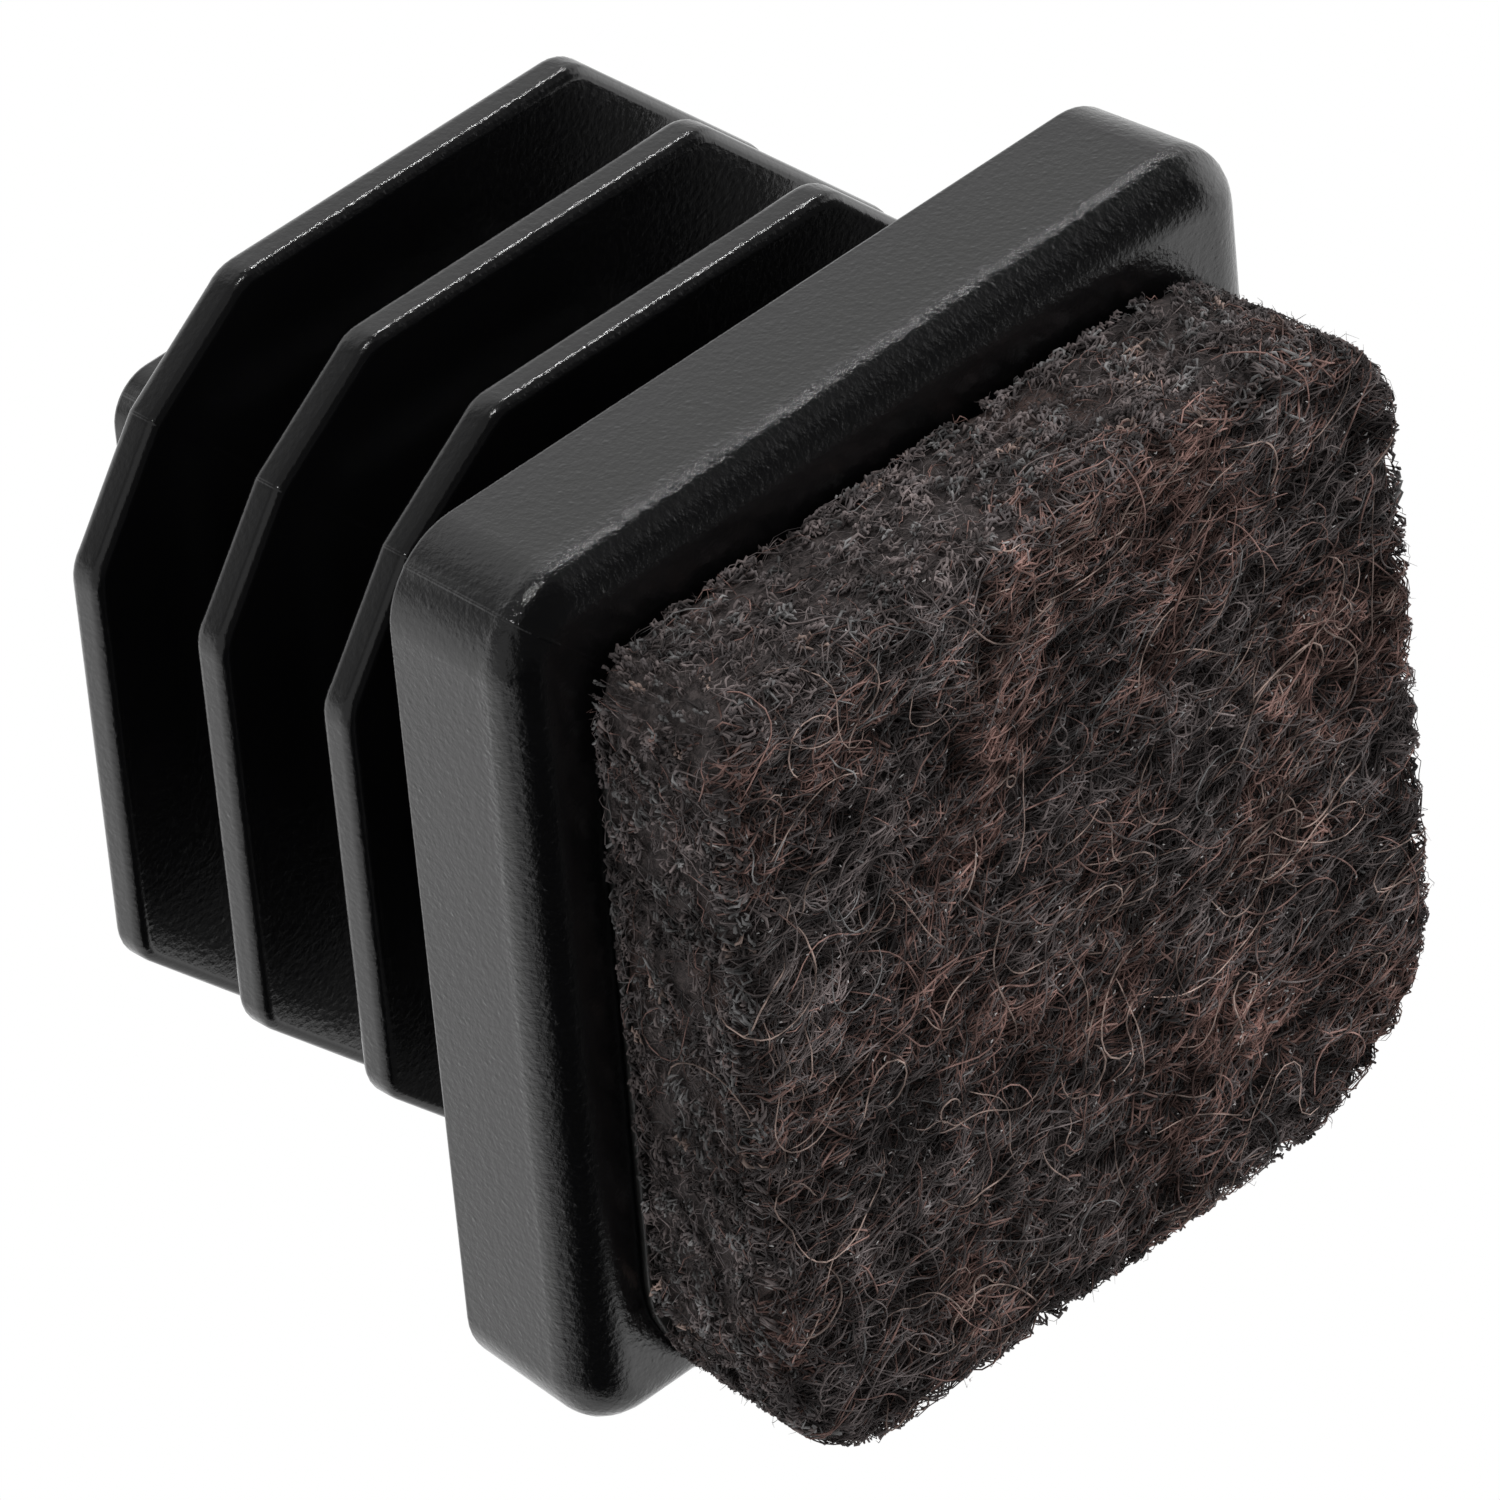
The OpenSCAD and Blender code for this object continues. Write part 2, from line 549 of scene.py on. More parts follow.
@dataclass
class LamellaPlug:
    """One moulding: head, hollow core and three lamellae."""

    ARC = (0, 9, 18, 27, 36, 42, 45, 48, 54, 63, 72, 81, 90)
    NOSE = (0, 11, 22, 33, 44)
    DIAGONAL = 45
    BESIDE_PEAK = 0.05
    EDGE_STEPS = 7
    SEAT_STEPS = 3
    ROOT_STEPS = 3
    RIM_STEPS = 5
    END_STEPS = 2
    FLAT_WEIGHT = 80

    head_z: float = 4.1
    head_height: float = 3.6
    head_half: float = 10.0
    head_corner: float = 1.55
    head_parted_corner: float = 1.8
    head_draft: float = 0.13
    head_roll: Pair = (1.15, 0.9)
    head_parted_roll: Pair = (1.1, 0.65)
    head_crisp: float = 0.2
    seat_roll: float = 0.12
    flash: float = 0.02
    core_half: float = 4.5
    core_corner: float = 1.0
    core_top: float = 21.45
    core_roll: float = 0.1
    hollow_half: float = 3.1
    hollow_corner: float = 0.35
    hollow_z: float = 6.1
    lamella_half: float = 9.2
    lamella_cut: float = 4.7
    lamella_parted_cut: float = 4.5
    lamella_nose: float = 1.0
    lamella_rise: float = 0.45
    lamella_thickness: float = 0.85
    lamella_roll: float = 0.26
    lamella_levels: tuple[float, ...] = (9.9, 13.35, 16.8)
    root_roll: float = 0.15
    finish: MouldedPlastic = MouldedPlastic()

    def ring(self, corners: Sequence[Sequence[Vector]], z: float) -> list[Vector]:
        """Sets outlines of a parted corner and a plain one by turns round the axis, at one height."""
        turns = [Matrix.Rotation(math.radians(90 * quarter), 3, "Z") for quarter in range(4)]
        return [
            turn @ (point + Vector((0, 0, z)))
            for turn, corner in zip(turns, [*corners, *corners]) for point in corner
        ]

    def round_corner(self, half: float, radius: float, flash: float = 0.0) -> list[Vector]:
        """Outlines a round corner, whose parting line stands out by the flash in the middle."""
        centre = Vector((half - radius, half - radius, 0))
        return [centre + level_way(angle) * (radius + flash * (angle == self.DIAGONAL)) for angle in self.ARC]

    def square(self, half: float, radius: float, z: float) -> list[Vector]:
        """Outlines a square with four like round corners at one height."""
        corner = self.round_corner(half, radius)
        return self.ring((corner, corner), z)

    def head_outline(self, half: float, insets: Pair, rises: Pair, z: float) -> list[Vector]:
        """Outlines the head, whose parted corners are rounder and carry the parting line.

        Args:
            half: half the width across, before the inset.
            insets: how far the parted and the plain corners stay inside it.
            rises: how far they lie above the ring's height.
            z: height of the ring.

        Returns:
            The ring's points.
        """
        parted = self.round_corner(half - insets[0], self.head_parted_corner - insets[0], self.flash)
        plain = self.round_corner(half - insets[1], self.head_corner - insets[1])
        corners = [
            [point + Vector((0, 0, rise)) for point in corner]
            for corner, rise in zip((parted, plain), rises)
        ]
        return self.ring(corners, z)

    def cut_corner(self, cut: float, rise: float, inset: float) -> list[Vector]:
        """Outlines a lamella's cut corner.

        Args:
            cut: leg of the cut.
            rise: how far the middle of the cut stands out.
            inset: how far the outline stays inside the lamella's full width.

        Returns:
            The corner's points.
        """
        half = self.lamella_half - inset
        run = half - cut + inset * (2 - math.sqrt(2))
        nose = self.lamella_nose - inset
        centre = Vector((half - nose, run - nose * math.tan(math.radians(self.DIAGONAL / 2)), 0))
        first = [centre + level_way(angle) * nose for angle in self.NOSE]
        middle = (half + run) / 2 + rise / math.sqrt(2)
        peak = Vector((middle, middle, 0))
        first.append(peak.lerp(first[-1], self.BESIDE_PEAK))
        return [*first, peak, *(Vector((point.y, point.x, 0)) for point in reversed(first))]

    def lamella(self, z: float, inset: float) -> list[Vector]:
        """Returns a lamella's outline at one height."""
        parted = self.cut_corner(self.lamella_parted_cut, self.lamella_rise, inset)
        return self.ring((parted, self.cut_corner(self.lamella_cut, 0.0, inset)), z)

    @staticmethod
    def roll(radius: float, steps: int) -> list[Pair]:
        """Gives a rounding as pairs of inset and rise, from the face to the side."""
        turns = [math.pi / 2 * step / steps for step in range(steps + 1)]
        return [(radius * (1 - math.sin(turn)), radius * (1 - math.cos(turn))) for turn in turns]

    def worn_edge(self, across: float, up: float) -> list[Pair]:
        """Gives the head's lower edge: a wide roll off the face that ends in a crisp edge at the side.

        Args:
            across: reach of the roll on the face.
            up: reach of the roll on the side.

        Returns:
            Pairs of inset and rise, from the face to the side.
        """
        turn = 2 * math.atan2(up, across)
        radius = across / math.sin(turn)
        last = turn - self.head_crisp / radius
        turns = np.linspace(0, last, self.EDGE_STEPS)
        pairs = [(across - radius * math.sin(at), radius * (1 - math.cos(at))) for at in turns]
        start, tip, end = Vector(pairs[-1]), Vector((0, up)), Vector((0, up + self.head_crisp))
        for share in np.linspace(0, 1, self.EDGE_STEPS)[1:]:
            pairs.append(tuple(start.lerp(tip, share).lerp(tip.lerp(end, share), share)))
        return pairs

    def build(self) -> Object:
        """Skins the moulding from the head's underside up to the core's end and down its hollow.

        Returns:
            The plug.
        """
        loft = self._head()
        self._core(loft, self.head_z + self.head_height)
        edge = self.roll(self.lamella_roll, self.RIM_STEPS)
        for level in self.lamella_levels:
            top = level + self.lamella_thickness
            self._core(loft, level, -1)
            for inset, rise in edge:
                loft.grow(self.lamella(level + rise, inset))
            for inset, rise in reversed(edge):
                loft.grow(self.lamella(top - rise, inset))
            self._core(loft, top)
        end = self.roll(self.core_roll, self.END_STEPS)
        for inset, rise in reversed(end):
            loft.grow(self.square(self.core_half - inset, self.core_corner - inset, self.core_top - rise))
        for inset, rise in end:
            loft.grow(self.square(self.hollow_half + inset, self.hollow_corner + inset, self.core_top - rise))
        loft.grow(self.square(self.hollow_half, self.hollow_corner, self.hollow_z))
        loft.close()
        return mesh_object(loft.bm, "moulded_plug")

    def _head(self) -> RingLoft:
        """Skins the head from its underside to the seat on the tube's end.

        Returns:
            The open skin.
        """
        plain, parted = self.worn_edge(*self.head_roll), self.worn_edge(*self.head_parted_roll)
        rings = [
            self.head_outline(self.head_half, (first[0], second[0]), (first[1], second[1]), self.head_z)
            for first, second in zip(parted, plain)
        ]
        back, seat = self.head_half - self.head_draft, self.head_z + self.head_height
        rings += [
            self.head_outline(back, (inset, inset), (-rise, -rise), seat)
            for inset, rise in reversed(self.roll(self.seat_roll, self.SEAT_STEPS))
        ]
        loft = RingLoft(rings[0])
        for ring in rings[1:]:
            loft.grow(ring)
        return loft

    def _core(self, loft: RingLoft, z: float, way: int = 1) -> None:
        """Skins the core's rounded root, upwards from the flat at z, or up to it where way is -1."""
        for inset, rise in self.roll(self.root_roll, self.ROOT_STEPS)[::way]:
            loft.grow(self.square(self.core_half + inset, self.core_corner + inset, z + way * rise))

    def dress(self, obj: Object) -> None:
        """Gives the plug its plastic and keeps its flats flat in the shading."""
        obj.modifiers.new("flat_faces", "WEIGHTED_NORMAL").weight = self.FLAT_WEIGHT
        settle(obj, self.finish, Slot.BLACK_PLASTIC, "plug")


# Adhesive film


def corner_block(half: float, low: float, high: float, centre: Pair, radii: dict[Corner, float]) -> BMesh:
    """Makes a square block whose upright corners have their own radii.

    Args:
        half: half the width across.
        low: height of the lower face.
        high: height of the upper face.
        centre: place of the block's axis.
        radii: radius of each upright corner.

    Returns:
        The block.
    """
    bm = bmesh.new()
    middle = Vector((*centre, (low + high) / 2))
    shape = Matrix.Translation(middle) @ Matrix.Diagonal((2 * half, 2 * half, high - low, 1.0))
    bmesh.ops.create_cube(bm, size=1.0, matrix=shape)
    for corner, radius in radii.items():
        place = Vector(centre) + Vector(corner.value) * half
        upright = [
            edge for edge in bm.edges
            if all((vert.co.xy - place).length < TOUCH for vert in edge.verts)
        ]
        round_edges(bm, upright, radius, segments=9)
    return bm


def rim(bm: BMesh, z: float) -> list[BMEdge]:
    """Returns the edges that lie at one height."""
    return [edge for edge in bm.edges if all(abs(vert.co.z - z) < TOUCH for vert in edge.verts)]


@dataclass
class AdhesiveFilm:
    """Film between the head and the felt; its edge shows beside the felt's base."""

    low: float = 3.9
    high: float = 4.1
    half: float = 8.6
    centre: Pair = (0.30, 0.93)
    turn: float = 1.2
    corner: float = 2.8
    edge_roll: float = 0.06
    finish: AdhesiveLayer = AdhesiveLayer()

    def build(self) -> Object:
        """Makes the film, a little askew.

        Returns:
            The film.
        """
        bm = corner_block(self.half, self.low, self.high, self.centre, dict.fromkeys(Corner, self.corner))
        round_edges(bm, rim(bm, self.low), self.edge_roll, segments=3)
        askew = Matrix.Rotation(math.radians(self.turn), 3, "Z")
        bmesh.ops.rotate(bm, cent=(*self.centre, self.low), matrix=askew, verts=bm.verts)
        return mesh_object(bm, "adhesive_layer")

    def dress(self, obj: Object) -> None:
        """Gives the film its finish and keeps its flats flat in the shading."""
        obj.modifiers.new("flat_faces", "WEIGHTED_NORMAL")
        settle(obj, self.finish, Slot.ADHESIVE, "adhesive_film")


# Felt


@dataclass
class FeltForm:
    """Outer form of the felt pad: where its fibres may lie."""

    NUDGE = 1e-9
    LEAST = 1e-6
    PIT_PLANE = 3.0

    centre: Pair = (0.50, 0.83)
    half: float = 9.2
    flare: Pair = (0.25, 0.05)
    thickness: float = 3.9
    lip: float = 0.6
    pit_sizes: tuple[Pair, ...] = ((1.1, 0.65), (0.42, 0.3))
    pit_share: Pair = (0.08, 0.4)
    radii: dict[Corner, float] = field(default_factory=lambda: dict(zip(Corner, (4.3, 3.3, 1.2, 3.2))))

    def _fold(self, x: Array, y: Array) -> tuple[Array, ...]:
        """Looks at points from the felt's middle and from their corners.

        Args:
            x: places along X.
            y: places along Y.

        Returns:
            X and Y from the middle, the corner's radius, and X and Y past the corner's centre.
        """
        px, py = x - self.centre[0], y - self.centre[1]
        side_x, side_y = np.sign(px + self.NUDGE), np.sign(py + self.NUDGE)
        radius = np.empty_like(px)
        for corner, value in self.radii.items():
            radius[(side_x == corner.value[0]) & (side_y == corner.value[1])] = value
        return px, py, radius, np.abs(px) - self.half + radius, np.abs(py) - self.half + radius

    def inside(self, x: Array, y: Array) -> Array:
        """Returns how far points lie inside the outline, below 0 outside it."""
        _, _, radius, qx, qy = self._fold(x, y)
        return radius - np.hypot(np.maximum(qx, 0), np.maximum(qy, 0)) - np.minimum(np.maximum(qx, qy), 0)

    def drape(self, x: Array, y: Array, sunk: Array) -> tuple[Array, Array]:
        """Lays points of the flat face onto the form, round its lip and up its sides.

        Args:
            x: places along X.
            y: places along Y.
            sunk: how deep under the form's skin each point lies.

        Returns:
            Points in space and the skin's outward directions there.
        """
        out_x, out_y = self.outward(x, y)
        inside = self.inside(x, y)
        over = np.maximum(-inside, 0)
        lean = np.clip(1 - inside / self.lip, 0, 1)
        facing = np.sqrt(1 - lean**2)
        high = over + self.lip * (1 - facing)
        flare = np.abs(out_x) * self.flare[0] + np.abs(out_y) * self.flare[1]
        shift = -over - flare * np.minimum(high / self.thickness, 1.0)
        normal = np.stack((out_x * lean, out_y * lean, -facing), axis=-1)
        place = np.stack((x + out_x * shift, y + out_y * shift, high), axis=-1)
        return place - normal * sunk[..., None], normal

    def outward(self, x: Array, y: Array) -> tuple[Array, Array]:
        """Finds the way out to the nearest side.

        Args:
            x: places along X.
            y: places along Y.

        Returns:
            X and Y of the directions.
        """
        px, py, _, qx, qy = self._fold(x, y)
        corner = (qx > 0) & (qy > 0)
        out_x = np.where(corner, qx, (qx >= qy) * 1.0) * np.sign(px)
        out_y = np.where(corner, qy, (qx < qy) * 1.0) * np.sign(py)
        length = np.maximum(np.hypot(out_x, out_y), self.LEAST)
        return out_x / length, out_y / length

    def pits(self, x: Array, y: Array) -> Array:
        """Gives the soft pits between the felt's tufts.

        Args:
            x: places along X.
            y: places along Y.

        Returns:
            Depth, from 0 on a tuft to 1 in a pit.
        """
        low, high = self.pit_share
        depth = np.zeros(x.shape)
        for long, short in self.pit_sizes:
            spots = np.stack((x / long, y / short), axis=-1).reshape(-1, 2)
            swell = [noise.noise(Vector((*spot, self.PIT_PLANE))) for spot in spots]
            share = (np.array(swell).reshape(x.shape) - low) / (high - low)
            depth = np.maximum(depth, np.clip(share, 0, 1))
        return depth

    def scatter(self, dice: Dice, count: int, band: Pair) -> Array:
        """Draws places on the unrolled face.

        Args:
            dice: random numbers.
            count: how many places.
            band: least and most distance inside the outline, below 0 up the sides.

        Returns:
            Places as count rows of X and Y.
        """
        reach = self.half - min(band[0], 0)
        kept = np.empty((0, 2))
        while len(kept) < count:
            tried = dice.uniform(-reach, reach, (count, 2)) + np.array(self.centre)
            inside = self.inside(tried[:, 0], tried[:, 1])
            _, _, radius, qx, qy = self._fold(tried[:, 0], tried[:, 1])
            crowded = np.where((qx > 0) & (qy > 0), radius / (radius + np.maximum(-inside, 0)), 1.0)
            fits = (inside > band[0]) & (inside < band[1]) & (dice.random(count) < crowded)
            kept = np.concatenate((kept, tried[fits]))
        return kept[:count]


@dataclass
class FibreLot:
    """A lot of loose fibres of one kind, laid on the felt in tufts."""

    WARM_REACH = 150.0
    WARM_CLOUD = (0.5, 0.4)
    # how strongly painted shade darkens the fibres in the felt's pits
    PIT_PAINTED_SHADE = 0.65
    PATCH_SHADE = 1.0
    PATCH_CLOUD = (7.5, 0.7)
    TONE_SPREAD = 0.12
    TUFT_TURN = 0.18
    RIPPLES = (5, 9)
    WAVES = (6, 14)
    PHASES = (0, 6)
    TUCK_POWER = 6
    STAND_SHARE = (0.3, 1.0)
    STAND_POWER = 1.5
    FLOOR_GAP = 0.02
    END_TAPER = 0.6
    TAPER_POWER = 4

    form: FeltForm
    name: str
    seed: int
    count: int
    points: int
    length: Pair
    width: Pair
    shades: dict[FibreShade, float]
    band: Pair = (-0.2, 20.0)
    tuft: int = 1
    tuft_reach: Pair = (0.0, 0.0)
    lean: float = 0.0
    spread: float = 0.5
    stray: float = 0.25
    around: bool = False
    curl: float = 0.5
    depth: Pair = (0.0, 0.35)
    wave: float = 0.08
    tuck: float = 0.3
    stand: float = 0.0
    gather: float = 0.0
    pit: float = 0.0
    layers: Triple = (1.0, 1.0, 1.0)
    tone: Pair = (0.5, 1.5)

    def headings(self, dice: Dice, start: Array) -> Array:
        """Draws the way that each tuft runs.

        Args:
            dice: random numbers.
            start: the tufts' places.

        Returns:
            One angle for each tuft.
        """
        heading = dice.normal(self.lean, self.spread, len(start))
        if self.around:
            out_x, out_y = self.form.outward(start[:, 0], start[:, 1])
            heading += np.arctan2(out_x, -out_y)
        loose = dice.random(len(start)) < self.stray
        heading[loose] = dice.uniform(-math.pi, math.pi, loose.sum())
        return heading

    def draw(self, dice: Dice, ends: Pair) -> Array:
        """Draws a number between two ends for each fibre, as a column."""
        return dice.uniform(*ends, (self.count, 1))

    def sway(self, dice: Dice, spread: float) -> Array:
        """Draws a number about 0 for each fibre, as a column."""
        return dice.normal(0, spread, (self.count, 1))

    def routes(self, dice: Dice) -> Array:
        """Works out where the fibres run.

        Args:
            dice: random numbers.

        Returns:
            Points in space, fibre by fibre.
        """
        tufts = -(-self.count // self.tuft)
        start = self.form.scatter(dice, tufts, self.band)
        heading = np.repeat(self.headings(dice, start), self.tuft)[: self.count, None]
        start = np.repeat(start, self.tuft, axis=0)[: self.count]
        off = dice.normal(0, 1, (self.count, 2)) * self.tuft_reach
        way = np.concatenate((np.cos(heading), np.sin(heading)), axis=1)
        start = start + off[:, :1] * way + off[:, 1:] * way[:, ::-1] * (-1, 1)
        heading = heading + self.sway(dice, self.TUFT_TURN) * (self.tuft > 1)

        along = np.linspace(-0.5, 0.5, self.points)
        length = self.draw(dice, self.length)
        bend = self.sway(dice, self.curl) * along * 2
        ripple = self.sway(dice, self.curl / 2)
        ripple = ripple * np.sin(along * self.draw(dice, self.RIPPLES) + self.draw(dice, self.PHASES))
        angle = heading + bend + ripple
        step = length / (self.points - 1)
        x = start[:, :1] + np.cumsum(np.cos(angle) * step, axis=1) - length / 2 * np.cos(heading)
        y = start[:, 1:] + np.cumsum(np.sin(angle) * step, axis=1) - length / 2 * np.sin(heading)

        wave = self.wave * np.sin(along * self.draw(dice, self.WAVES) + self.draw(dice, self.PHASES))
        tuck = self.tuck * np.abs(along * 2) ** self.TUCK_POWER
        sunk = np.maximum(self.draw(dice, self.depth) + wave, 0.0) + tuck
        if self.pit:
            sunk = sunk + self.pit * self.form.pits(x, y)
        place, normal = self.form.drape(x, y, sunk)
        rise = self.stand * self.draw(dice, self.STAND_SHARE) * (along + 0.5) ** self.STAND_POWER
        place += normal * rise[..., None]
        height = place[..., 2]
        folded = np.where(height > self.form.thickness, 2 * self.form.thickness - height, height)
        place[..., 2] = np.maximum(folded, self.FLOOR_GAP)
        return place

    @staticmethod
    def cloud(places: Array, plane: float, scale: float) -> Array:
        """Reads a soft noise at the X and Y of places, in one plane of it."""
        return np.array([noise.noise(Vector((*place[:2], plane)) * scale) for place in places])

    def colours(self, dice: Dice, routes: Array) -> Array:
        """Draws a colour for each tuft, with a change from fibre to fibre; warm ones gather, and points in
        the pits get painted shade.

        Args:
            dice: random numbers.
            routes: the fibres' points.

        Returns:
            One colour with alpha for each point of each fibre.
        """
        middle = routes[:, self.points // 2]
        tufts = middle[:: self.tuft]
        warmth = self.cloud(tufts, *self.WARM_CLOUD) + (tufts[:, 0] - tufts[:, 1]) / self.WARM_REACH
        weights = np.array([list(self.shades.values())] * len(tufts))
        for column, shade in enumerate(self.shades):
            if shade in (FibreShade.RUST, FibreShade.TAN):
                weights[:, column] *= np.exp(self.gather * warmth)
        share = np.cumsum(weights, axis=1)
        pick = (dice.random((len(tufts), 1)) * share[:, -1:] > share).sum(axis=1)
        palette = np.array([shade.value for shade in self.shades])
        colour = np.repeat(palette[pick], self.tuft, axis=0)[: self.count]
        patch = self.PATCH_SHADE * self.cloud(middle, *self.PATCH_CLOUD)
        change = dice.normal(0, self.TONE_SPREAD, self.count) + patch
        tone = np.repeat(change[:, None], self.points, axis=1)
        # painted shade: fibre points in the felt's pits are darkened by the pits' depth
        if self.pit:
            tone -= self.PIT_PAINTED_SHADE * self.form.pits(routes[..., 0], routes[..., 1])
        colour = colour[:, None, :] * np.exp(tone)[..., None]
        return np.concatenate((colour, np.ones((self.count, self.points, 1))), axis=2)

    def build(self) -> Object:
        """Spins the fibres as thin tubes in one mesh.

        Returns:
            The lot.
        """
        dice = np.random.default_rng(self.seed)
        routes = self.routes(dice)
        colours = self.colours(dice, routes)
        curve = bpy.data.curves.new(self.name, "CURVE")
        curve.dimensions = "3D"
        curve.bevel_depth = MM / 2
        curve.bevel_resolution = 0
        widths = dice.uniform(*self.width, self.count)
        taper = 1.0 - self.END_TAPER * np.abs(np.linspace(-1, 1, self.points)) ** self.TAPER_POWER
        for route, width in zip(routes, widths):
            spline = curve.splines.new("POLY")
            spline.points.add(self.points - 1)
            spline.points.foreach_set("co", np.c_[route * MM, np.ones(self.points)].ravel())
            spline.points.foreach_set("radius", taper * width)
        obj = linked(self.name, curve)
        mesh = final_mesh(obj)
        bpy.data.objects.remove(obj)
        bpy.data.curves.remove(curve)
        tint = mesh.attributes.new(FibreFinish.TINT, "FLOAT_COLOR", "POINT")
        around = len(mesh.vertices) // (self.count * self.points)
        tint.data.foreach_set("color", np.repeat(colours.reshape(-1, 4), around, axis=0).ravel())
        mesh.shade_smooth()
        return linked(self.name, mesh)

    def dress(self, obj: Object) -> None:
        """Gives the fibres their finish."""
        finish = FibreFinish(f"{self.name}_finish", self.layers, self.tone)
        settle(obj, finish, Slot.FELT)


